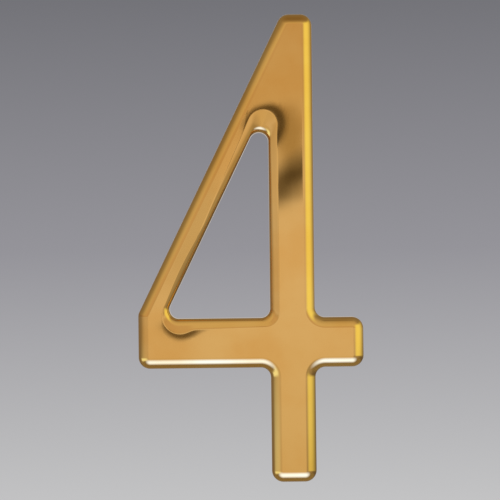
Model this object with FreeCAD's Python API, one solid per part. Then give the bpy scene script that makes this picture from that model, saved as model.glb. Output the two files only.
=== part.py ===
import FreeCAD, Part
import math
import os

# A brass door number 4, hot pressed in one piece, with a rolled front edge, a hollow back and
# two blind tapped holes for concealed fixing.
# Frame: millimetres, +Z up, +X to the right of a person who reads the number, and the face
# looks along -Y. The back lies in the plane y = 0. The origin is on the stem's centreline,
# half way up, which is the middle of the two fixing holes.

# Outline of the figure
numeral_height = 120.0
numeral_depth = 5.0
stem_width = 11.5
crossbar_width = 12.8
foot_length = 29.4
left_reach = 33.9
right_reach = 12.4
knee_height = 14.0
top_width = 7.8
arm_width = 6.5
outer_corner_radius = 3.0
inner_corner_radius = 2.5
counter_corner_radius = 2.4

# Rolled front edge, and the dished lip round the counter; on the crossbar the lip is wide at
# the acute corner and narrow beside the stem
edge_roll_radius = 2.8
lip_width = 2.75
lip_width_bar_left = 4.2
lip_width_bar_right = 1.9
lip_depth = 0.45
lip_corner_radius = 4.3
counter_roll_radius = 1.9

# Hollow back
rim_width = 1.8
face_thickness = 2.0
recess_draft_angle = 4.0
recess_corner_radius = 1.1
recess_floor_radius = 0.4

# Concealed fixing: two blind holes, drilled at the tapping size of an M4 thread
fixing_spacing = 80.0
fixing_hole_radius = 1.65
fixing_hole_depth = 3.0
drill_point_angle = 118.0
thread_lead_in = 0.4
boss_radius = 4.5

# Two shapes closer than this touch
touching = 0.001


def turn_at(before, corner, after):
    """Give the signed turn of a path at a corner, in radians; a left turn is positive."""
    in_x, in_z = corner[0] - before[0], corner[1] - before[1]
    out_x, out_z = after[0] - corner[0], after[1] - corner[1]
    return math.atan2(in_x * out_z - in_z * out_x, in_x * out_x + in_z * out_z)


def neighbours(points):
    """Walk round a closed path and give each point with the ones before and after it."""
    count = len(points)
    return [(points[i - 1], points[i], points[(i + 1) % count]) for i in range(count)]


def move_sides(corners, distance):
    """Move each side of an anticlockwise path inwards by a distance, keeping the sides parallel."""
    moved = []
    for before, corner, after in neighbours(corners):
        turn = turn_at(before, corner, after)
        length = math.hypot(corner[0] - before[0], corner[1] - before[1])
        along_x = (corner[0] - before[0]) / length
        along_z = (corner[1] - before[1]) / length
        slide = distance * math.tan(turn / 2)
        moved.append((corner[0] - along_z * distance - along_x * slide,
                      corner[1] + along_x * distance - along_z * slide))
    return moved


def toward(point, other, distance):
    """Give the place that lies a distance from one point on the way to another."""
    share = distance / math.hypot(other[0] - point[0], other[1] - point[1])
    return (point[0] + (other[0] - point[0]) * share, point[1] + (other[1] - point[1]) * share)


def corner_arc(before, corner, after, radius, y):
    """Round one corner with an arc that is tangent to both of its sides."""
    half_turn = abs(turn_at(before, corner, after)) / 2
    reach = radius * math.tan(half_turn)
    start = toward(corner, before, reach)
    end = toward(corner, after, reach)
    chord_middle = ((start[0] + end[0]) / 2, (start[1] + end[1]) / 2)
    crown = toward(corner, chord_middle, radius / math.cos(half_turn) - radius)
    return Part.Arc(*[FreeCAD.Vector(x, y, z) for x, z in (start, crown, end)])


def rounded_wire(corners, radii, y):
    """Make a closed wire of straight sides and tangent arcs in the plane at y."""
    arcs = [corner_arc(*place, radius, y) for place, radius in zip(neighbours(corners), radii)]
    edges = []
    for arc, following in zip(arcs, arcs[1:] + arcs[:1]):
        edges.append(arc.toShape())
        edges.append(Part.LineSegment(arc.EndPoint, following.StartPoint).toShape())
    return Part.Wire(edges)


# Levels and widths that several features share
half_stem = stem_width / 2
top_z = numeral_height / 2
bottom_z = -numeral_height / 2
bar_bottom_z = bottom_z + foot_length
bar_top_z = bar_bottom_z + crossbar_width
left_x = -half_stem - left_reach
right_x = half_stem + right_reach
knee_z = bar_bottom_z + knee_height
top_left_x = half_stem - top_width
recess_depth = numeral_depth - face_thickness
recess_draft = recess_depth * math.tan(math.radians(recess_draft_angle))

# Corners of the figure, anticlockwise as it is read, from the foot's lower left
outline_corners = [
    (-half_stem, bottom_z),
    (half_stem, bottom_z),
    (half_stem, bar_bottom_z),
    (right_x, bar_bottom_z),
    (right_x, bar_top_z),
    (half_stem, bar_top_z),
    (half_stem, top_z),
    (top_left_x, top_z),
    (left_x, knee_z),
    (left_x, bar_bottom_z),
    (-half_stem, bar_bottom_z),
]


def counter_corners():
    """Find the triangle that the stem, the crossbar and the slanting arm enclose."""
    rise = (top_z - knee_z) / (top_left_x - left_x)
    arm_drop = arm_width * math.hypot(1, rise)
    stem_x = -half_stem
    apex_z = knee_z + rise * (stem_x - left_x) - arm_drop
    corner_x = stem_x - (apex_z - bar_top_z) / rise
    return [(corner_x, bar_top_z), (stem_x, bar_top_z), (stem_x, apex_z)]


def is_reentrant(before, corner, after):
    """Tell whether the outline turns into the metal at a corner."""
    return turn_at(before, corner, after) < 0


def numeral_wire(y):
    """Make the figure's outer outline."""
    radii = []
    for place in neighbours(outline_corners):
        radii.append(inner_corner_radius if is_reentrant(*place) else outer_corner_radius)
    return rounded_wire(outline_corners, radii, y)


def recess_wire(inset, y):
    """Make the outer wall of the hollow, a rim's width or more inside the outline."""
    radii = []
    for place in neighbours(outline_corners):
        follows = inner_corner_radius + inset
        radii.append(follows if is_reentrant(*place) else recess_corner_radius)
    return rounded_wire(move_sides(outline_corners, inset), radii, y)


def counter_wire(growth, radius, y):
    """Make the counter's outline, grown into the metal by a distance."""
    corners = move_sides(counter_corners(), -growth)
    return rounded_wire(corners, [radius] * len(corners), y)


def crossing(first, second):
    """Find where two lines cross, each given by two of its points."""
    (ax, az), (bx, bz) = first
    (cx, cz), (dx, dz) = second
    spread = (bx - ax) * (dz - cz) - (bz - az) * (dx - cx)
    share = ((cx - ax) * (dz - cz) - (cz - az) * (dx - cx)) / spread
    return (ax + (bx - ax) * share, az + (bz - az) * share)


def crease_wire(y):
    """Make the line where the face starts to fall away to the counter."""
    left, right, apex = counter_corners()
    grown_left, grown_right, grown_apex = move_sides([left, right, apex], -lip_width)
    bar_side = ((left[0], left[1] - lip_width_bar_left), (right[0], right[1] - lip_width_bar_right))
    corners = [
        crossing(bar_side, (grown_apex, grown_left)),
        crossing(bar_side, (grown_apex, grown_right)),
        grown_apex,
    ]
    return rounded_wire(corners, [lip_corner_radius] * len(corners), y)


def front_edges(solid, wire):
    """Pick the edges of a solid that lie along a wire on its front."""
    picked = []
    for edge in solid.Edges:
        middle = edge.valueAt((edge.FirstParameter + edge.LastParameter) / 2)
        if wire.distToShape(Part.Vertex(middle))[0] < touching:
            picked.append(edge)
    return picked


def make_blank():
    """Press the plain figure and roll its outer front edge over."""
    outline = numeral_wire(0)
    blank = Part.Face(outline).extrude(FreeCAD.Vector(0, -numeral_depth, 0))
    rolled_path = numeral_wire(-numeral_depth)
    return blank.makeFillet(edge_roll_radius, front_edges(blank, rolled_path))


def open_counter(solid):
    """Pierce the counter, dish a lip round it that widens in the acute corners, and roll its edge."""
    throat_y = -numeral_depth + lip_depth
    hole = Part.Face(counter_wire(0, counter_corner_radius, 0))
    pierced = solid.cut(hole.extrude(FreeCAD.Vector(0, -numeral_depth, 0)))
    throat = counter_wire(0, counter_corner_radius, throat_y)
    dish = Part.makeLoft([crease_wire(-numeral_depth), throat], True, True)
    dished = pierced.cut(dish)
    return dished.makeFillet(counter_roll_radius, front_edges(dished, throat))


def hollow_back(solid):
    """Sink the drafted recess that leaves a rim, a face, the ring round the counter and two bosses."""
    mouth = recess_wire(rim_width, 0)
    floor = recess_wire(rim_width + recess_draft, -recess_depth)
    pocket = Part.makeLoft([mouth, floor], True, True)
    ring_radius = counter_corner_radius + rim_width
    ring_mouth = counter_wire(rim_width, ring_radius, 0)
    ring_floor = counter_wire(rim_width + recess_draft, ring_radius + recess_draft, -recess_depth)
    pocket = pocket.cut(Part.makeLoft([ring_mouth, ring_floor], True, True))
    floor_edges = [edge for edge in pocket.Edges
                   if max(abs(vertex.Y + recess_depth) for vertex in edge.Vertexes) < touching]
    pocket = pocket.makeFillet(recess_floor_radius, floor_edges)
    for z in fixing_heights():
        pocket = pocket.cut(Part.makeCone(boss_radius, boss_radius + recess_draft, recess_depth,
                                          FreeCAD.Vector(0, 0, z), FreeCAD.Vector(0, -1, 0)))
    return solid.cut(pocket)


def fixing_heights():
    """Give the heights of the two fixing holes."""
    return (-fixing_spacing / 2, fixing_spacing / 2)


def fixing_hole(z):
    """Make the drill's form: a lead-in, a straight bore and the cone that its point leaves."""
    point_depth = fixing_hole_radius / math.tan(math.radians(drill_point_angle / 2))
    profile = [
        (0, 0),
        (fixing_hole_radius + thread_lead_in, 0),
        (fixing_hole_radius, thread_lead_in),
        (fixing_hole_radius, fixing_hole_depth),
        (0, fixing_hole_depth + point_depth),
    ]
    points = [FreeCAD.Vector(x, -depth, z) for x, depth in profile]
    face = Part.Face(Part.makePolygon(points + points[:1]))
    return face.revolve(FreeCAD.Vector(0, 0, z), FreeCAD.Vector(0, 1, 0), 360)


def make_numeral():
    """Build the whole number in the order in which it is made."""
    numeral = hollow_back(open_counter(make_blank()))
    for z in fixing_heights():
        numeral = numeral.cut(fixing_hole(z))
    return numeral


os.makedirs("parts", exist_ok=True)
numeral = make_numeral()
numeral.exportStep("parts/numeral.step")
print("numeral valid", numeral.isValid(), "solids", len(numeral.Solids), "faces", len(numeral.Faces),
      "volume mm3", round(numeral.Volume, 1))
print("box", numeral.BoundBox)
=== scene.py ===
# %% [markdown]
# # A polished brass door number 4
# The real thing is one piece of brass, pressed or cast, with a soft rolled edge all round its front.
# A lip dips toward the open triangle, the back is hollow, and two bosses hold the threads for
# concealed studs. This file models it once more with a finer skin than the CAD solid has, because
# polished metal shows every flat facet, and then gives it its finish, its light and its camera.

# %% Open the frame and keep its meshes
import math

import bmesh
import bpy
from mathutils import Matrix, Vector


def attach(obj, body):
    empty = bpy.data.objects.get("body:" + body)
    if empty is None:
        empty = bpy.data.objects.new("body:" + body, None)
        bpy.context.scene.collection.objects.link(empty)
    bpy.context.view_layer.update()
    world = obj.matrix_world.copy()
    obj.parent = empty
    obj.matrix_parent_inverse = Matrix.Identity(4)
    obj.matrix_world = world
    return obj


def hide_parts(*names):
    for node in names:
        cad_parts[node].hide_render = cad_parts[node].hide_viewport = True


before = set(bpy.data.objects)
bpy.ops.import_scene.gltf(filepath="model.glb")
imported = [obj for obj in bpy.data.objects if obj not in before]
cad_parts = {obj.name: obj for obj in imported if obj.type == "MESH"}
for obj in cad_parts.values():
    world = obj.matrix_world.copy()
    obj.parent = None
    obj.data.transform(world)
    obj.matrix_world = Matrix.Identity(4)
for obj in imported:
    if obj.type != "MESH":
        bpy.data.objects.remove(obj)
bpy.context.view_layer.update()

# %% [markdown]
# ## The drawing
# The number is drawn as its maker would draw it: straight sides that meet in corners, and a radius
# at each corner. The sizes of the outline are the CAD model's own, in millimetres, with x to the
# right, z up and the face toward -y. The mesh could start from the CAD solid's facets, but those are
# loose triangles, and a drawing gives clean rows of four-sided faces. It is built in millimetres too,
# and scaled to metres when it is done.

# %% Sizes of the number
HEIGHT = 120.0
DEPTH = 5.0
STEM = 11.5
BAR = 12.8
FOOT = 29.4
LEFT_REACH = 33.9
RIGHT_REACH = 12.4
KNEE = 14.0
TOP = 7.8
ARM = 6.5
METRES = 0.001

half_stem = STEM / 2
top_z, foot_z = HEIGHT / 2, -HEIGHT / 2
bar_bottom = foot_z + FOOT
bar_top = bar_bottom + BAR
left_x, right_x = -half_stem - LEFT_REACH, half_stem + RIGHT_REACH
knee_z = bar_bottom + KNEE
top_left = half_stem - TOP

OUTLINE = [
    (-half_stem, foot_z), (half_stem, foot_z), (half_stem, bar_bottom), (right_x, bar_bottom),
    (right_x, bar_top), (half_stem, bar_top), (half_stem, top_z), (top_left, top_z),
    (left_x, knee_z), (left_x, bar_bottom), (-half_stem, bar_bottom),
]
arm_rise = (top_z - knee_z) / (top_left - left_x)
apex_z = knee_z + arm_rise * (-half_stem - left_x) - ARM * math.hypot(1, arm_rise)
counter_left = -half_stem - (apex_z - bar_top) / arm_rise
COUNTER = [(counter_left, bar_top), (-half_stem, bar_top), (-half_stem, apex_z)]
print("corners of the counter:", [(round(x, 2), round(z, 2)) for x, z in COUNTER])

# %% [markdown]
# ## Corners and loops
# A rounded corner is an arc that is tangent to both sides. It could be worked out point by point with
# sines and cosines. One vertex set down where the arc starts, and spun round the arc's centre, leaves
# the whole arc behind it without that. Joining the arcs gives a closed loop. Loops for different
# depths have the same number of points, so that bridging them makes clean rows of faces.

# %% Walk round a path and move its sides
def turn_at(before, corner, after):
    """Give the signed turn of the path at a corner; a left turn is positive."""
    run_in = Vector(corner) - Vector(before)
    run_out = Vector(after) - Vector(corner)
    return math.atan2(run_in.cross(run_out), run_in.dot(run_out))


def corners_with_neighbours(path):
    """Walk round a closed path and give each corner with the ones before and after it."""
    return [(path[i - 1], path[i], path[(i + 1) % len(path)]) for i in range(len(path))]


def move_sides(path, distance):
    """Move each side of an anticlockwise path inwards by a distance, or outwards by a negative one."""
    moved = []
    for before, corner, after in corners_with_neighbours(path):
        into = (Vector(corner) - Vector(before)).normalized()
        out = (Vector(after) - Vector(corner)).normalized()
        start = Vector(corner) + Vector((-into.y, into.x)) * distance
        other = Vector(corner) + Vector((-out.y, out.x)) * distance
        reach = (other - start).cross(out) / into.cross(out)
        moved.append(tuple(start + into * reach))
    return moved


inner = move_sides(COUNTER, 1.0)
print("the counter's corners with its sides 1 mm further in:",
      [(round(x, 2), round(z, 2)) for x, z in inner])

# %% Make rounded loops
ARC_STEPS = 12
SPIN_AXIS = Vector((0, -1, 0))


def rounded_loop(bm, path, radii, y, steps=ARC_STEPS, cuts=None):
    """Lay a closed loop of edges in the plane at y: a spun arc at each corner, sides cut as asked."""
    edges = []
    ends = []
    for (before, corner, after), radius in zip(corners_with_neighbours(path), radii):
        turn = turn_at(before, corner, after)
        into = (Vector(corner) - Vector(before)).normalized()
        start = Vector(corner) - into * radius * math.tan(abs(turn) / 2)
        centre = start + Vector((-into.y, into.x)) * math.copysign(radius, turn)
        first = bm.verts.new((start.x, y, start.y))
        swept = bmesh.ops.spin(bm, geom=[first], cent=(centre.x, y, centre.y), axis=SPIN_AXIS,
                               angle=turn, steps=steps)
        last = [item for item in swept["geom_last"] if isinstance(item, bmesh.types.BMVert)][0]
        ends.append((first, last))
    for i, (first, last) in enumerate(ends):
        end = ends[(i + 1) % len(ends)][0]
        side = bm.edges.new((last, end))
        for left in range(cuts[i] if cuts else 0, 0, -1):
            side, point = bmesh.utils.edge_split(side, end, left / (left + 1))
    walker = ends[0][0]
    edge = walker.link_edges[0]
    while edge not in edges:
        edges.append(edge)
        walker = edge.other_vert(walker)
        edge = [other for other in walker.link_edges if other is not edge][0]
    return edges


probe = bmesh.new()
print("points in one loop of the outline:", len(rounded_loop(probe, OUTLINE, [1.0] * len(OUTLINE), 0)))
probe.free()

# %% [markdown]
# ## The rolled edge
# Seen in section, the front edge is a quarter of a circle, like a finger's tip, and the back edge is
# only broken, so that it doesn't cut a hand. Both are a list of rows, a row being how far it stands
# in from the wall and how deep it lies. A Bevel modifier could round the edge too, but it slides
# points along the face, and rows keep every loop parallel to the outline.

# %% Rows of the outer edge
EDGE_ROLL = 2.8
EDGE_BREAK = 0.12
ROLL_STEPS = 14
OUTER_RADIUS = 3.0
INNER_RADIUS = 2.5


def quarter_round(radius, steps):
    """Give the rows of a roll as (distance in from the wall, height above the wall's end)."""
    angles = [math.pi / 2 * i / steps for i in range(steps + 1)]
    return [(radius * (1 - math.cos(angle)), radius * math.sin(angle)) for angle in angles]


def outline_loop(bm, inset, y, convex):
    """Lay the outline, moved in by a distance; the reentrant corners widen as it moves in."""
    radii = []
    for before, corner, after in corners_with_neighbours(OUTLINE):
        radii.append(convex if turn_at(before, corner, after) > 0 else INNER_RADIUS + inset)
    return rounded_loop(bm, move_sides(OUTLINE, inset), radii, y)


edge_rows = [(EDGE_BREAK, 0), (0, -EDGE_BREAK)]
edge_rows += [(inset, EDGE_ROLL - DEPTH - rise) for inset, rise in quarter_round(EDGE_ROLL, ROLL_STEPS)]
solid = bmesh.new()
outer_loops = [outline_loop(solid, inset, y, OUTER_RADIUS - inset) for inset, y in edge_rows]
print("rows of the outer edge:", len(edge_rows),
      "from y", edge_rows[0][1], "to", round(edge_rows[-1][1], 3))

# %% [markdown]
# ## The dished lip
# Round the triangle the face sinks a little before it rolls over, like the hollow that a thumb leaves
# in clay. Where the sinking starts is the crease. A loop at one distance from the counter could draw
# it, but here it stands farther off at one end of a side than at the other, and it ends in a round
# bulb at the sharp left corner. So it is a triangle of its own. A second and wider triangle bounds
# the zone that is shaped, and lies in the flat face.

# %% Draw the crease
COUNTER_ROLL = 1.9
LIP_STEM_FOOT, LIP_STEM_TOP = 2.4, 2.05
LIP_ARM_FOOT, LIP_ARM_TOP = 0.1, 2.6
LIP_BAR_LEFT, LIP_BAR_RIGHT = 2.75, 2.2
LIP_DEPTH = 0.45
LIP_FADE = 2.6
CREASE_RADIUS = 3.62
BULB, BULB_RADIUS, BULB_BLEND = Vector((-28.9, -17.1)), 4.35, 1.0
ZONE_BAR, ZONE_ARM, ZONE_STEM = 8.0, 3.6, 8.2
ZONE_RADII = (7.4, 6.0, 4.8)


def line_crossing(first, second):
    """Find where two lines cross, each given by two points."""
    a, b = (Vector(point) for point in first)
    c, d = (Vector(point) for point in second)
    return tuple(a + (b - a) * ((c - a).cross(d - c) / (b - a).cross(d - c)))


def grown_counter(bar_left, bar_right, stem_foot, stem_top, arm_foot, arm_top):
    """Grow the counter's triangle by widths that may change from one end of a side to the other."""
    left, right, apex = (Vector(corner) for corner in COUNTER)
    along = (apex - left).normalized()
    outward = Vector((-along.y, along.x))
    bar_side = (left - Vector((0, bar_left)), right - Vector((0, bar_right)))
    stem_side = (right + Vector((stem_foot, 0)), apex + Vector((stem_top, 0)))
    arm_side = (left + outward * arm_foot, apex + outward * arm_top)
    return [line_crossing(bar_side, arm_side), line_crossing(bar_side, stem_side),
            line_crossing(stem_side, arm_side)]


CREASE = grown_counter(LIP_BAR_LEFT, LIP_BAR_RIGHT, LIP_STEM_FOOT, LIP_STEM_TOP,
                       LIP_ARM_FOOT, LIP_ARM_TOP)
ZONE = grown_counter(ZONE_BAR, ZONE_BAR, ZONE_STEM, ZONE_STEM, ZONE_ARM, ZONE_ARM)
CREASE_CENTRES = move_sides(CREASE, CREASE_RADIUS)
print("corners of the crease:", [(round(x, 1), round(z, 1)) for x, z in CREASE])
print("corners of the zone that is shaped:", [(round(x, 1), round(z, 1)) for x, z in ZONE])

# %% [markdown]
# ## The depth of the lip
# A press gives the lip its slope, and the buffing wheel then softens where it starts. A sculpted
# surface could have both, but nobody could change a size in it. So the depth is a rule: inside the
# crease the lip slopes evenly down to the counter, and the crease itself is a little rounded. Outside
# it three broad and shallow easings let the flat fade in.

# %% Work out how deep the lip lies
CREASE_SOFT = 0.08
EXPONENT_LIMIT = 60
# Each easing has a middle, a slope, how far it spreads along the lip, and how soon it fades outwards.
EASINGS = [
    (Vector((-3.5, 33.0)), math.radians(0.85), 5.0, 1.8),
    (Vector((-28.5, -22.0)), math.radians(0.55), 4.5, 1.4),
    (Vector((-19.0, -21.0)), math.radians(0.12), 7.0, 1.0),
]


def smooth_step(low, high, value):
    """Rise smoothly from 0 at low to 1 at high."""
    share = min(1.0, max(0.0, (value - low) / (high - low)))
    return share * share * (3 - 2 * share)


def outside_crease(place):
    """Give the distance from a place to the crease with its bulb, negative inside them."""
    nearest, within = math.inf, True
    for start, end in zip(CREASE_CENTRES, CREASE_CENTRES[1:] + CREASE_CENTRES[:1]):
        side = Vector(end) - Vector(start)
        offset = place - Vector(start)
        share = min(1, max(0, offset.dot(side) / side.length_squared))
        nearest = min(nearest, (offset - side * share).length)
        within = within and side.cross(offset) > 0
    hull = (-nearest if within else nearest) - CREASE_RADIUS
    bulb = (place - BULB).length - BULB_RADIUS
    gap = max(BULB_BLEND - abs(hull - bulb), 0) / BULB_BLEND
    return min(hull, bulb) - gap * gap * BULB_BLEND / 4


def lip_depth(place, distance):
    """Give the lip's depth at a place this far from the counter."""
    outside = outside_crease(place)
    inside = CREASE_SOFT * math.log1p(math.exp(min(EXPONENT_LIMIT, -outside / CREASE_SOFT)))
    width = inside + distance
    depth = LIP_DEPTH * smooth_step(0, LIP_FADE, width) * inside / width
    for centre, slope, reach, length in EASINGS:
        eased = length * math.exp(-outside / length) if outside > 0 else length - outside
        depth += slope * eased * math.exp(-((place - centre).length / reach) ** 2)
    return depth


for name, place in (("stem", (-half_stem, 0)), ("middle of the crossbar", (-16, bar_top))):
    print("lip's depth at the", name, "in mm:", round(lip_depth(Vector(place), 0), 3))

# %% [markdown]
# ## Rows across the lip
# A straight line is ruled from the counter's edge to the flat face. The points on it could stand at
# even steps, but the mirror asks for more of them where the brass bends: close rows on the roll, a
# few on the slope, close ones again at the crease, and ever wider ones outside.

# %% Divide a ruled line into rows
ROLL_ROWS, PLATEAU_ROWS, BEND_ROWS, APRON_ROWS = 10, 6, 6, 14
LIP_ROWS = ROLL_ROWS + PLATEAU_ROWS + BEND_ROWS + APRON_ROWS
BEND = 0.3
LEAST_PLATEAU = 1.2 * BEND
APRON_GROWTH = 1.6
HALVINGS = 24


def mix(first, second, share):
    """Mix two numbers by a share from 0 to 1."""
    return first + (second - first) * share


def crease_reach(near, across, width):
    """Find how far from the counter's edge a line crosses the crease, by halving the span."""
    low, high = 0.0, width
    for _ in range(HALVINGS):
        middle = (low + high) / 2
        if outside_crease(near + across * middle) < 0:
            low = middle
        else:
            high = middle
    return low


def row_reach(row, roll_end, crease, width):
    """Place a row behind the roll: even ones first, close ones at the crease, ever wider ones after."""
    row -= ROLL_ROWS
    if row <= PLATEAU_ROWS:
        return mix(roll_end, crease - BEND, row / PLATEAU_ROWS)
    row -= PLATEAU_ROWS
    if row <= BEND_ROWS:
        return crease + BEND * (2 * row / BEND_ROWS - 1)
    row -= BEND_ROWS
    return mix(crease + BEND, width, (row / APRON_ROWS) ** APRON_GROWTH)


def lip_section(near, far):
    """Give the points of the lip's section that runs from the counter's edge to the flat face."""
    across = far - near
    width = across.length
    across.normalize()
    depth = lip_depth(near, 0)
    past_roll = lip_depth(near + across * COUNTER_ROLL, COUNTER_ROLL)
    turn = math.pi / 2 - math.atan((depth - past_roll) / COUNTER_ROLL)
    section = []
    for row in range(ROLL_ROWS):
        angle = turn * row / ROLL_ROWS
        drop = COUNTER_ROLL * (math.tan(turn / 2) - math.sin(angle))
        section.append((COUNTER_ROLL * (1 - math.cos(angle)), depth + drop))
    roll_end = COUNTER_ROLL * (1 - math.cos(turn))
    crease = max(crease_reach(near, across, width), roll_end + LEAST_PLATEAU)
    for row in range(ROLL_ROWS, LIP_ROWS):
        reach = row_reach(row, roll_end, crease, width)
        section.append((reach, lip_depth(near + across * reach, reach)))
    section.append((width, 0))
    return [(near + across * reach, y - DEPTH) for reach, y in section]


sample = lip_section(Vector((-half_stem, 0)), Vector((-half_stem + ZONE_STEM, 0)))
print("rows across the lip:", LIP_ROWS, "deepest at y", round(sample[0][1], 2))

# %% [markdown]
# ## Pressing the lip
# A Boolean cut could make the lip, but it would leave long thin faces at the crease, which show as
# streaks in a mirror. Instead the counter's edge is bridged to the wide triangle, the faces between
# them are divided into the rows, and every point is pressed down to its depth. Each point has to know
# which ruled line it lies on. Layers on the two ends of a line hold that, and dividing the line
# passes them on to the new points.

# %% Make the lip
COUNTER_RADIUS = 2.4
COUNTER_STEPS = 24
COUNTER_CUTS = (38, 60, 60)
RULED_TO_DIGITS = 4


def counter_loop(bm, growth, y, steps=ARC_STEPS, cuts=None):
    """Lay the counter's outline, grown into the brass by a distance."""
    radii = [COUNTER_RADIUS + growth] * len(COUNTER)
    return rounded_loop(bm, move_sides(COUNTER, -growth), radii, y, steps, cuts)


def make_lip(bm):
    """Bridge the counter's edge to the flat face, divide the strip into rows, and press them down."""
    edge_loop = counter_loop(bm, 0, -DEPTH, COUNTER_STEPS, COUNTER_CUTS)
    flat_loop = rounded_loop(bm, ZONE, ZONE_RADII, -DEPTH, COUNTER_STEPS, COUNTER_CUTS)
    near_end = bm.verts.layers.float_vector.new("near")
    far_end = bm.verts.layers.float_vector.new("far")
    rank = bm.verts.layers.float.new("rank")
    flat_points = {vert for edge in flat_loop for vert in edge.verts}
    strip = bmesh.ops.bridge_loops(bm, edges=edge_loop + flat_loop)
    rulings = {edge for face in strip["faces"] for edge in face.edges
               if (edge.verts[0] in flat_points) != (edge.verts[1] in flat_points)}
    print("rulings across the lip:", len(rulings), "points in a loop:", len(flat_points))
    sections = {}
    for ruling in rulings:
        near, far = sorted(ruling.verts, key=flat_points.__contains__)
        near[rank], far[rank] = 0, 1
        near[near_end] = far[near_end] = near.co
        near[far_end] = far[far_end] = far.co
    divided = bmesh.ops.subdivide_edges(bm, edges=list(rulings), cuts=LIP_ROWS - 1, use_grid_fill=True)
    lines = [item for item in divided["geom"] if isinstance(item, bmesh.types.BMEdge)]
    points = {vert for line in lines for vert in line.verts}
    for vert in points:
        ends = vert[near_end].to_tuple(RULED_TO_DIGITS), vert[far_end].to_tuple(RULED_TO_DIGITS)
        if ends not in sections:
            sections[ends] = lip_section(vert[near_end].xz, vert[far_end].xz)
        place, y = sections[ends][round(vert[rank] * LIP_ROWS)]
        vert.co = (place.x, y, place.y)
    return edge_loop, flat_loop, len(points)


counter_edge, flat_loop, lip_points = make_lip(solid)
print("points on the lip:", lip_points)

# %% [markdown]
# ## The plain body
# The loops of the outer edge and of the counter's wall are bridged in turn, and the last row of one
# part is the first row of the next. The flat front and the flat back are then filled between an outer
# and an inner loop. A body that is closed has no open edge, and its volume says that its faces point
# outwards.

# %% Bridge the rows and close the front and the back
def bridge_rows(bm, loops):
    """Bridge each loop to the next and count the faces."""
    made = 0
    for near, far in zip(loops, loops[1:]):
        made += len(bmesh.ops.bridge_loops(bm, edges=near + far)["faces"])
    return made


def fill_between(bm, outer, inner):
    """Close a flat ring between two loops."""
    filled = bmesh.ops.triangle_fill(bm, use_beauty=True, edges=outer + inner)
    return len([item for item in filled["geom"] if isinstance(item, bmesh.types.BMFace)])


counter_wall = counter_loop(solid, 0, -EDGE_BREAK, COUNTER_STEPS, COUNTER_CUTS)
counter_back = counter_loop(solid, EDGE_BREAK, 0, COUNTER_STEPS, COUNTER_CUTS)
print("faces on the outer edge:", bridge_rows(solid, outer_loops))
print("faces in the counter:", bridge_rows(solid, [counter_back, counter_wall, counter_edge]))
print("faces on the front:", fill_between(solid, outer_loops[-1], flat_loop))
print("faces on the back:", fill_between(solid, outer_loops[0], counter_back))
bmesh.ops.recalc_face_normals(solid, faces=solid.faces)
print("open edges:", sum(not edge.is_manifold for edge in solid.edges),
      "volume in cubic mm:", round(solid.calc_volume(signed=True), 1))

# %% [markdown]
# ## The hollow back
# A pressed or cast number is hollow behind, to save brass, with a rim that sits on the door, a ring
# round the counter, and two bosses for the studs. The hollow could be made by pushing faces in, but
# the back would then need the bosses' circles drawn into it first. Instead the hollow is made as its
# own body, the shape that the tool leaves, and cut from the number. The body reaches a little past
# the back, so that no two faces lie in one plane.

# %% Make the hollow's body
RIM = 1.8
FACE_THICKNESS = 2.0
DRAFT = math.tan(math.radians(4))
POCKET_CORNER = 1.1
FLOOR_RADIUS = 0.4
FLOOR_STEPS = 4
PAST_BACK = 1.0

pocket_depth = DEPTH - FACE_THICKNESS
foot_inset, foot_y = RIM + (pocket_depth - FLOOR_RADIUS) * DRAFT, FLOOR_RADIUS - pocket_depth
floor_fillet = quarter_round(FLOOR_RADIUS, FLOOR_STEPS)
wall_rows = [(RIM - EDGE_BREAK - PAST_BACK, PAST_BACK), (RIM, -EDGE_BREAK)]
wall_rows += [(foot_inset + inset, foot_y - rise) for inset, rise in floor_fillet]

hollow = bmesh.new()
walls = [outline_loop(hollow, inset, y, POCKET_CORNER - max(0, inset - foot_inset))
         for inset, y in wall_rows]
rings = [counter_loop(hollow, growth, y) for growth, y in wall_rows]
print("faces on the hollow's outer wall:", bridge_rows(hollow, walls))
print("faces on the ring's wall:", bridge_rows(hollow, rings))
fill_between(hollow, walls[0], rings[0])
fill_between(hollow, walls[-1], rings[-1])

# %% [markdown]
# ## The bosses
# The bosses stand where the tool has holes, so they are cut from the hollow's body before that is cut
# from the number. They are cones with the draft of the walls. They could be joined on afterwards,
# but then their feet would lie inside the face and leave faces that nobody sees.

# %% Cut the bosses from the hollow, and the hollow from the number
BOSS_RADIUS = 4.5
BOSS_SEGMENTS = 64
HOLE_HEIGHTS = (-40.0, 40.0)


def to_object(bm, name):
    """Put a bmesh into the scene as an object."""
    bmesh.ops.recalc_face_normals(bm, faces=bm.faces)
    mesh = bpy.data.meshes.new(name)
    bm.to_mesh(mesh)
    bm.free()
    made = bpy.data.objects.new(name, mesh)
    bpy.context.scene.collection.objects.link(made)
    return made


def cut(target, cutter):
    """Cut one object from another for good, and throw the cutter away."""
    modifier = target.modifiers.new("cut", "BOOLEAN")
    modifier.operation = "DIFFERENCE"
    modifier.solver = "EXACT"
    modifier.object = cutter
    graph = bpy.context.evaluated_depsgraph_get()
    target.data = bpy.data.meshes.new_from_object(target.evaluated_get(graph))
    target.modifiers.clear()
    bpy.data.objects.remove(cutter)
    print(target.name, "has", len(target.data.polygons), "faces after the cut")


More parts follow.
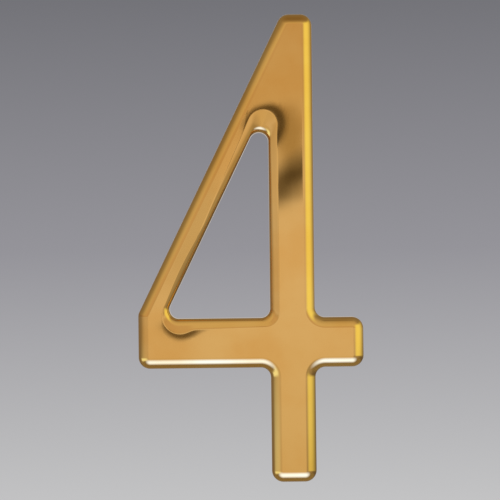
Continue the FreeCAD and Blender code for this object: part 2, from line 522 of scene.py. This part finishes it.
pocket = to_object(hollow, "pocket")
for z in HOLE_HEIGHTS:
    boss = bmesh.new()
    reach = pocket_depth + 2 * PAST_BACK
    place = Matrix.Translation((0, PAST_BACK - reach / 2, z)) @ Matrix.Rotation(math.pi / 2, 4, "X")
    bmesh.ops.create_cone(boss, cap_ends=True, segments=BOSS_SEGMENTS, depth=reach, matrix=place,
                          radius1=BOSS_RADIUS - PAST_BACK * DRAFT,
                          radius2=BOSS_RADIUS + (pocket_depth + PAST_BACK) * DRAFT)
    cut(pocket, to_object(boss, "boss"))

number = to_object(solid, "door_number_4")
cut(number, pocket)

# %% [markdown]
# ## The holes for the studs
# Each boss is drilled blind and tapped for an M4 stud. The drill leaves a cone at the bottom. A
# cylinder and a cone could be joined for it, but half a profile that is spun a full turn gives the
# lead-in, the bore and the cone in one body.

# %% Drill the holes
HOLE_RADIUS = 1.65
HOLE_DEPTH = 3.0
LEAD_IN = 0.4
POINT_ANGLE = math.radians(118)
HOLE_STEPS = 48
MERGE_ON_AXIS = 0.0001

point = HOLE_RADIUS / math.tan(POINT_ANGLE / 2)
profile = [(0, PAST_BACK), (HOLE_RADIUS + LEAD_IN + PAST_BACK, PAST_BACK), (HOLE_RADIUS, -LEAD_IN),
           (HOLE_RADIUS, -HOLE_DEPTH), (0, -HOLE_DEPTH - point)]
for z in HOLE_HEIGHTS:
    drill = bmesh.new()
    drawn = [drill.verts.new((x, y, z)) for x, y in profile]
    lines = [drill.edges.new(pair) for pair in zip(drawn, drawn[1:])]
    bmesh.ops.spin(drill, geom=drawn + lines, cent=(0, 0, z), axis=(0, 1, 0), angle=math.tau,
                   steps=HOLE_STEPS, use_merge=True)
    bmesh.ops.remove_doubles(drill, verts=drill.verts, dist=MERGE_ON_AXIS)
    cut(number, to_object(drill, "drill"))

# %% [markdown]
# ## Metres and smooth shading
# Smooth shading bends the light over the facets, and an edge that turns by more than a limit stays
# sharp. It also bends the flat face a little near the roll, which a mirror shows at once. Weighted
# normals would mend most of that. Here every flat face gets its own normal right up to where the roll
# begins, so that it mirrors like a flat.

# %% Scale to metres and smooth the shading
SHARP_ANGLE = math.radians(32)
MERGE_WITHIN = 0.0005

finished = bmesh.new()
finished.from_mesh(number.data)
bmesh.ops.remove_doubles(finished, verts=finished.verts, dist=MERGE_WITHIN)
bmesh.ops.scale(finished, vec=(METRES,) * 3, verts=finished.verts)
for face in finished.faces:
    face.smooth = True
for edge in finished.edges:
    edge.smooth = edge.calc_face_angle(0) < SHARP_ANGLE
print("open edges:", sum(not edge.is_manifold for edge in finished.edges), "faces:", len(finished.faces),
      "volume in cubic mm:", round(finished.calc_volume(signed=True) / METRES ** 3, 1))
finished.to_mesh(number.data)
finished.free()

# %% Give the flats their own normals
FLAT = 0.999999

flat_side = {vert: math.copysign(1, face.normal.y) for face in number.data.polygons
             if abs(face.normal.y) > FLAT for vert in face.vertices}
corner_normals = [(0, 0, 0)] * len(number.data.loops)
for face in number.data.polygons:
    for corner, vert in zip(face.loop_indices, face.vertices):
        side = flat_side.get(vert, 0)
        if face.normal.y * side > math.cos(SHARP_ANGLE):
            corner_normals[corner] = (0, side, 0)
number.data.normals_split_custom_set(corner_normals)
print("corners with a flat's normal:", sum(any(normal) for normal in corner_normals))

# %% [markdown]
# ## Which parts are buffed
# Only the front and the outer edges meet the buffing wheel. The hollow keeps the skin that it was
# cast with, the rim and the bosses are ground flat so that they sit on the door, and the holes are
# tapped. Each could be a material of its own. Here a face belongs to one of these by where it lies
# and how it faces, and a value on its corners carries that to one material. Corners rather than
# vertices, so that one finish stops sharply where the next begins.

# %% Mark the cast hollow, the ground back and the threads
LEVEL = 0.000001
NEARLY_SQUARE = 0.03
HOLE_ROOM = (HOLE_RADIUS + LEAD_IN) * METRES


def from_hole(place):
    """Give the distance from a place to the axis of the nearer hole."""
    return min(math.hypot(place.x, place.z - z * METRES) for z in HOLE_HEIGHTS)


def in_hollow(centre, normal):
    """Tell whether a face is one of the hollow's drafted walls, its fillets or its floor."""
    return normal.y > NEARLY_SQUARE and centre.y < -LEVEL and from_hole(centre) > HOLE_ROOM


def on_back(centre, normal):
    """Tell whether a face lies in the plane that sits on the door."""
    return centre.y > -LEVEL and normal.y > 0


def in_thread(centre, normal):
    """Tell whether a face belongs to a hole's straight wall."""
    return abs(normal.y) < NEARLY_SQUARE and from_hole(centre) < HOLE_ROOM


def mark(name, test):
    """Store 1 on the corners of the faces that pass a test, 0 on all others, and count the faces."""
    layer = number.data.attributes.new(name, "FLOAT", "CORNER")
    passed = [face for face in number.data.polygons if test(face.center, face.normal)]
    for face in passed:
        for corner in face.loop_indices:
            layer.data[corner].value = 1
    return len(passed)


for name, test in (("as_cast", in_hollow), ("ground", on_back), ("tapped", in_thread)):
    print("faces that are", name + ":", mark(name, test))

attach(number, "root")
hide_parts("numeral")

# %% [markdown]
# ## Shader maths in Python
# A material is a net of nodes. It could be linked socket by socket, which is long to write and hard
# to read. One small class wraps a socket, so that a sum of values reads as a sum and adds its Math
# node by itself. Every other node comes from its add method: the settings go in first, then the
# values or links of the sockets.

# %% Wrap a socket
class Wire:
    """A node socket that takes part in Python sums."""

    def __init__(self, tree, socket=None):
        self.tree, self.socket = tree, socket

    def add(self, kind, settings=None, inputs=None, output=0):
        """Add a node and give one of its outputs."""
        node = self.tree.nodes.new(kind)
        for name, value in (settings or {}).items():
            if name == "stops":
                while len(node.color_ramp.elements) < len(value):
                    node.color_ramp.elements.new(1)
                for element, (place, colour) in zip(node.color_ramp.elements, value):
                    element.position, element.color = place, colour
            else:
                setattr(node, name, value)
        for name, value in (inputs or {}).items():
            if isinstance(value, Wire):
                self.tree.links.new(value.socket, node.inputs[name])
            else:
                node.inputs[name].default_value = value
        return Wire(self.tree, node.outputs[output])

    def maths(self, operation, *terms):
        """Add one Math node that works on this value and the terms."""
        return self.add("ShaderNodeMath", {"operation": operation}, dict(enumerate((self,) + terms)))

    def between(self, low, high):
        """Give a smooth step that is 0 below low and 1 above high."""
        inputs = {"Value": self, "From Min": low, "From Max": high}
        return self.add("ShaderNodeMapRange", {"interpolation_type": "SMOOTHSTEP"}, inputs)

    def mix_colour(self, first, second):
        """Mix two colours by this value."""
        return self.add("ShaderNodeMix", {"data_type": "RGBA"}, {"Factor": self, 6: first, 7: second}, 2)

    def __add__(self, other):
        return self.maths("ADD", other)

    def __sub__(self, other):
        return self.maths("SUBTRACT", other)

    def __rsub__(self, other):
        return (self * -1).maths("ADD", other)

    def __mul__(self, other):
        return self.maths("MULTIPLY", other)

    __radd__ = __add__
    __rmul__ = __mul__


def new_material(name):
    """Start a material and give its tree as a wire, with the surface shader's node."""
    material = bpy.data.materials.new(name)
    material.use_nodes = True
    return material, Wire(material.node_tree), material.node_tree.nodes["Principled BSDF"]


def feed(wire, node, name):
    """Link a wire to a named socket of a node."""
    wire.tree.links.new(wire.socket, node.inputs[name])


print("what a wire can do beside sums:", [name for name in vars(Wire) if not name.startswith("__")])

# %% [markdown]
# ## The buffed brass
# The front of such a number is buffed until it mirrors, and then lacquered. Up close a buffed face
# isn't an ideal mirror: the wheel leaves soft waves a few millimetres long and hair lines along the
# strokes, and the lacquer clouds a little here and there. A flat colour would look like plastic. So
# one colour of brass is mixed with a redder one by a slow noise, roughness varies by another, and a
# faint bump carries the waves and the hair lines.

# %% Polish the front
BRASS = (0.9, 0.52, 0.155, 1)
DEEP_BRASS = (0.86, 0.455, 0.115, 1)
HAIR_STRETCH = (2600, 2600, 90)


def noise(tree, at, scale, detail, roughness):
    """Add a noise that is read at a place."""
    inputs = {"Vector": at, "Scale": scale, "Detail": detail, "Roughness": roughness}
    return tree.add("ShaderNodeTexNoise", None, inputs)


polished, tree, shader = new_material("polished_brass")
place = tree.add("ShaderNodeTexCoord", output="Object")
clouds = noise(tree, place, 55, 3, 0.55)
waves = noise(tree, place, 90, 1, 0.4)
along = tree.add("ShaderNodeMapping", None, {"Vector": place, "Scale": HAIR_STRETCH})
hairs = noise(tree, along, 1, 3, 0.6)
buffed_colour = clouds.between(0.35, 0.7).mix_colour(BRASS, DEEP_BRASS)
buffed_roughness = 0.03 + 0.012 * clouds.between(0.3, 0.75) + 0.01 * hairs
buffed_relief = waves + hairs * 0.002
print("nodes for the buffed front:", len(polished.node_tree.nodes))

# %% [markdown]
# ## The cast hollow, the ground rim and the threads
# The cast hollow is duller and darker, with a sandy grain and stains. The ground back has fine
# straight scratches. The thread is a row of ridges 0.7 mm apart, and it could be cut as a helix, but
# nobody looks that deep, so a bump is enough. All of them are one brass, so they are one material,
# and the marks on the mesh choose between them.

# %% Leave the hollow as it was cast
CAST = (0.56, 0.33, 0.115, 1)
STAIN = (0.33, 0.185, 0.07, 1)
SCRATCH_STRETCH = (120, 120, 5200)
THREAD_PITCH = 0.0007

as_cast, ground, tapped = (tree.add("ShaderNodeAttribute", {"attribute_name": name}, output="Fac")
                           for name in ("as_cast", "ground", "tapped"))
stains = noise(tree, place, 130, 5, 0.65)
sand = noise(tree, place, 2200, 2, 0.6)
across = tree.add("ShaderNodeMapping", None, {"Vector": place, "Scale": SCRATCH_STRETCH})
scratches = noise(tree, across, 1, 2, 0.6)
depth_in = tree.add("ShaderNodeSeparateXYZ", None, {0: place}, "Y")
ridges = (depth_in * (math.tau / THREAD_PITCH)).maths("SINE")
cast_colour = stains.between(0.4, 0.75).mix_colour(CAST, STAIN)
print("nodes with those of the back:", len(polished.node_tree.nodes))

# %% Join the finishes by the marks on the mesh
BUMP_STRENGTH = 0.35
BUMP_HEIGHT = 0.00006

dulled = as_cast * (0.3 + 0.16 * stains) + ground * (0.14 + 0.1 * scratches) + tapped * 0.12
relief = (buffed_relief + as_cast * (sand * 0.9 + stains * 1.5)
          + ground * (scratches * 0.25) + tapped * (ridges * 4))
bump = tree.add("ShaderNodeBump", None,
                {"Strength": BUMP_STRENGTH, "Distance": BUMP_HEIGHT, "Height": relief})
feed(as_cast.mix_colour(buffed_colour, cast_colour), shader, "Base Color")
feed(buffed_roughness + dulled, shader, "Roughness")
feed(bump, shader, "Normal")
shader.inputs["Metallic"].default_value = 1
number.data.materials.append(polished)
print("nodes in the brass:", len(polished.node_tree.nodes))

# %% [markdown]
# ## The light
# Polished metal shows little of its own: nearly all of its look is what it mirrors. A lamp would show
# its own shape in the metal, so the studio is painted into the world by direction instead. In front
# stands a pale wall, with one ramp of colours from low to high. It is dimmer toward the sides and the
# back, where the rolled edges look, and low on the right.

# %% Read a direction
world = bpy.data.worlds.new("studio")
bpy.context.scene.world = world
world.use_nodes = True
air = Wire(world.node_tree)
direction = air.add("ShaderNodeTexCoord", output="Generated")
right_way, away, up_way = (air.add("ShaderNodeSeparateXYZ", None, {0: direction}, axis)
                           for axis in "XYZ")
left_way, down_way = 0 - right_way, 0 - up_way


def ramp(stops, value, low, high):
    """Read a ramp of colours or of grey levels where a value lies between low and high."""
    colours = [(at, (level,) * 3 + (1,) if isinstance(level, float) else level) for at, level in stops]
    share = air.add("ShaderNodeMapRange", None, {"Value": value, "From Min": low, "From Max": high})
    return air.add("ShaderNodeValToRGB", {"stops": colours}, {"Fac": share})


print("nodes that read a direction:", len(world.node_tree.nodes))

# %% Paint the wall in front
WALL = [(0.0, (0.69, 0.68, 0.65, 1)), (0.3, (0.74, 0.73, 0.75, 1)), (0.5, (0.77, 0.78, 0.86, 1)),
        (0.62, (0.74, 0.73, 0.76, 1)), (0.83, (0.65, 0.60, 0.54, 1)), (1.0, (0.61, 0.54, 0.47, 1))]
WALL_SPAN = 0.1
HIGH_WALL = (0.67, 0.645, 0.54, 1)
SIDEWAYS = [(0.0, 0.83), (0.3, 0.93), (0.467, 1.0), (0.6, 1.0), (0.77, 0.95), (1.0, 0.92)]
SIDEWAYS_SPAN = 0.3
WHITE = (1, 1, 1, 1)
FALL_OFF = [(0.0, 0.38), (0.14, 0.45), (0.333, 0.5), (0.4, 0.57),
            (0.58, 0.76), (0.68, 0.86), (0.887, 1.0)]
FALL_OFF_START = -0.42
LOW_RIGHT = 0.62

wall = ramp(WALL, up_way, -WALL_SPAN, WALL_SPAN)
wall = up_way.between(0.2, 0.32).mix_colour(wall, HIGH_WALL)
sideways = ramp(SIDEWAYS, right_way, -SIDEWAYS_SPAN, SIDEWAYS_SPAN)
sideways = up_way.between(0.04, 0.15).mix_colour(sideways, WHITE)
fall_off = ramp(FALL_OFF, 0 - away, FALL_OFF_START, 1)
low_right = 1 - (1 - LOW_RIGHT) * right_way.between(0.03, 0.27) * down_way.between(0.0, 0.13)
for factor in (fall_off, sideways, low_right):
    wall = air.add("ShaderNodeVectorMath", {"operation": "MULTIPLY"}, {0: wall, 1: factor})
print("nodes with the wall:", len(world.node_tree.nodes))

# %% [markdown]
# ## Side lights and what stands behind
# A warm soft light on the right makes the yellow edges, and a yellow one low on the left makes the
# glow in the lower corners. Area lamps could do it, but a step between two directions has softer
# limits. Behind the number the camera sees a plain grey that grows paler downward. The metal sees a
# pale patch straight behind instead, which the ground rim mirrors when the number is seen from the
# back. The Light Path node tells the two apart.

# %% Add the side lights and the background
RIGHT_LIGHT = (1.0, 1.15, 0.58, 1)
LEFT_LIGHT = (1.0, 1.35, 1.55, 1)
REAR = (0.66, 0.65, 0.64, 1)
BEHIND = [(0.0, (0.552, 0.552, 0.558, 1)), (0.5, (0.301, 0.296, 0.323, 1)),
          (1.0, (0.168, 0.168, 0.185, 1))]
BEHIND_SPAN = 0.11

right_band = up_way.between(-0.25, -0.02) * (1 - up_way.between(0.35, 0.7))
from_right = right_way.between(0.25, 0.72) * right_band * (1 - away.between(-0.5, 1.0))
left_band = down_way.between(0.03, 0.25) * (1 - down_way.between(0.7, 0.95))
low_left = left_way.between(0.15, 0.7) * left_band * (1 - away.between(-0.2, 0.3))
studio = from_right.mix_colour(wall, RIGHT_LIGHT)
studio = low_left.mix_colour(studio, LEFT_LIGHT)
studio = away.between(0.94, 0.98).mix_colour(studio, REAR)
behind = ramp(BEHIND, up_way, -BEHIND_SPAN, BEHIND_SPAN)
seen_directly = air.add("ShaderNodeLightPath", output="Is Camera Ray")
painted = (away.between(0.1, 0.6) * seen_directly).mix_colour(studio, behind)
feed(painted, world.node_tree.nodes["Background"], "Color")
print("nodes in the studio:", len(world.node_tree.nodes))

# %% [markdown]
# ## Cards
# A photographer of brass hangs cards round the lens, because a polished face with nothing to mirror
# looks like plastic. Dark cards put soft shadows into the face and draw the hook over the triangle,
# and a light one low in front makes the white lines along the lower edges. Each card is a soft oval
# that only reflections see. It could be painted into the world too, but a card at a known distance
# moves in the metal as a real one does. A flat face mirrors the lens's plane at twice a place's
# distance from the axis, so a card hung there sets its shadow at a chosen place on the face. The
# cards by the lens hang a millimetre apart, the first one farthest back.

# %% Make a soft card
CAMERA_WAY = 605.0
DARK = (1.0, 0.85, 0.6, 1)
BLACK = (0, 0, 0, 1)
GRID_HALF = 1.2
FADE_PAST_EDGE = 0.4


def soft_card(name, centre, half_width, half_height, level, colour=DARK, turn=0.0, tip=0.0, edge=0.5):
    """Hang an oval card whose edge fades; turn and tip are in degrees, edge is the share that fades."""
    card = bmesh.new()
    bmesh.ops.create_grid(card, x_segments=1, y_segments=1, size=GRID_HALF)
    uv = card.loops.layers.uv.new("card")
    for face in card.faces:
        for corner in face.loops:
            corner[uv].uv = corner.vert.co.xy
    upright = Matrix.Rotation(math.pi / 2, 4, "X")
    stretched = Matrix.Diagonal((half_width, 1, half_height, 1)) @ upright
    turned = Matrix.Rotation(math.radians(tip), 4, "X") @ Matrix.Rotation(math.radians(-turn), 4, "Y")
    hung = Matrix.Translation(centre) @ turned @ stretched
    bmesh.ops.transform(card, matrix=hung, verts=card.verts)
    bmesh.ops.scale(card, vec=(METRES,) * 3, verts=card.verts)
    made = to_object(card, name)
    made.visible_camera = made.visible_diffuse = made.visible_shadow = False
    material, net, surface = new_material(name)
    where = net.add("ShaderNodeUVMap", {"uv_map": "card"})
    radius = net.add("ShaderNodeVectorMath", {"operation": "LENGTH"}, {0: where}, "Value")
    feed(1 - radius.between(1 - edge, 1 + edge * FADE_PAST_EDGE), surface, "Alpha")
    surface.inputs["Base Color"].default_value = BLACK
    surface.inputs["Specular IOR Level"].default_value = 0
    surface.inputs["Emission Color"].default_value = colour
    surface.inputs["Emission Strength"].default_value = level
    made.data.materials.append(material)
    print("card", name, "at", centre)


def by_lens(x, z, order=0):
    """Give a place in the lens's plane, or a few millimetres in front of it."""
    return (x, order - CAMERA_WAY, z)


# %% Hang the cards
PALE = (1, 0.98, 0.96, 1)
COOL_LIGHT = (0.6, 1.0, 2.85, 1)

soft_card("dim_upper", by_lens(4.5, 62.5), 11, 10, 0.24, edge=0.8)
soft_card("dim_middle", by_lens(11, 55, 1), 9.2, 19.4, 0.43, edge=0.95)
soft_card("dark_hook", by_lens(-5, 62.5, 2), 9, 8, 0.08, edge=0.45)
soft_card("dark_blotch", by_lens(10.7, 35.5, 3), 22, 9.5, 0.08, turn=44.5, edge=0.9)
soft_card("dim_left", by_lens(-45, 12), 30, 40, 0.63, PALE, edge=0.6)
soft_card("dark_low", (-37.0, -300, -29.3), 8.8, 3.9, 0.14, edge=0.6)
soft_card("dim_top", (1, -9.5, 71.5), 30, 17, 0.24, tip=-72, edge=1.0)
soft_card("low_light", (-10, -204, -243), 240, 160, 2.15, COOL_LIGHT, tip=50, edge=0.95)

# %% [markdown]
# ## The floor
# A plain pale disc lies half a metre below the number. It could be a plane, but a disc that fades
# toward its rim has no edge that shows as a line, neither in the metal nor in a view from above.

# %% Lay the floor
FLOOR_Z = -0.5
FLOOR_REACH = 1.2
FLOOR_SEGMENTS = 96
FADE_START, FADE_END = 0.5 * FLOOR_REACH, 0.98 * FLOOR_REACH
FLOOR_COLOUR = (0.62, 0.62, 0.63, 1)

disc = bmesh.new()
bmesh.ops.create_circle(disc, cap_ends=True, segments=FLOOR_SEGMENTS, radius=FLOOR_REACH)
bmesh.ops.translate(disc, vec=(0, 0, FLOOR_Z), verts=disc.verts)
floor = to_object(disc, "floor")
floor_finish, net, surface = new_material("pale_floor")
surface.inputs["Base Color"].default_value = FLOOR_COLOUR
surface.inputs["Roughness"].default_value = 0.9
spot = net.add("ShaderNodeTexCoord", output="Object")
flat_spot = net.add("ShaderNodeVectorMath", {"operation": "MULTIPLY"}, {0: spot, 1: (1, 1, 0)})
from_middle = net.add("ShaderNodeVectorMath", {"operation": "LENGTH"}, {0: flat_spot}, "Value")
feed(1 - from_middle.between(FADE_START, FADE_END), surface, "Alpha")
floor.data.materials.append(floor_finish)

# %% [markdown]
# ## The camera
# The picture looks at the number squarely from 0.6 m, which shows hardly any of its sides. The lens
# follows from the width that the picture covers at the face. The number hangs a little askew in the
# picture. Turning it would take it out of the CAD's frame, so the camera rolls by less than a degree,
# and the number itself stays upright.

# %% Set the camera
PICTURE_WIDTH = 0.1278
FACE_WAY = 0.6
CAMERA_X, CAMERA_Z = -0.01072, -0.00038
ROLL = math.radians(0.68)

camera_data = bpy.data.cameras.new("camera")
camera_data.lens = camera_data.sensor_width * FACE_WAY / PICTURE_WIDTH
camera_data.clip_start = 0.01
camera = bpy.data.objects.new("camera", camera_data)
camera.location = (CAMERA_X, -CAMERA_WAY * METRES, CAMERA_Z)
camera.rotation_euler = (math.pi / 2, ROLL, 0)
bpy.context.scene.collection.objects.link(camera)
bpy.context.scene.camera = camera
bpy.context.scene.view_settings.view_transform = "Standard"
print("lens in mm:", round(camera_data.lens, 1))
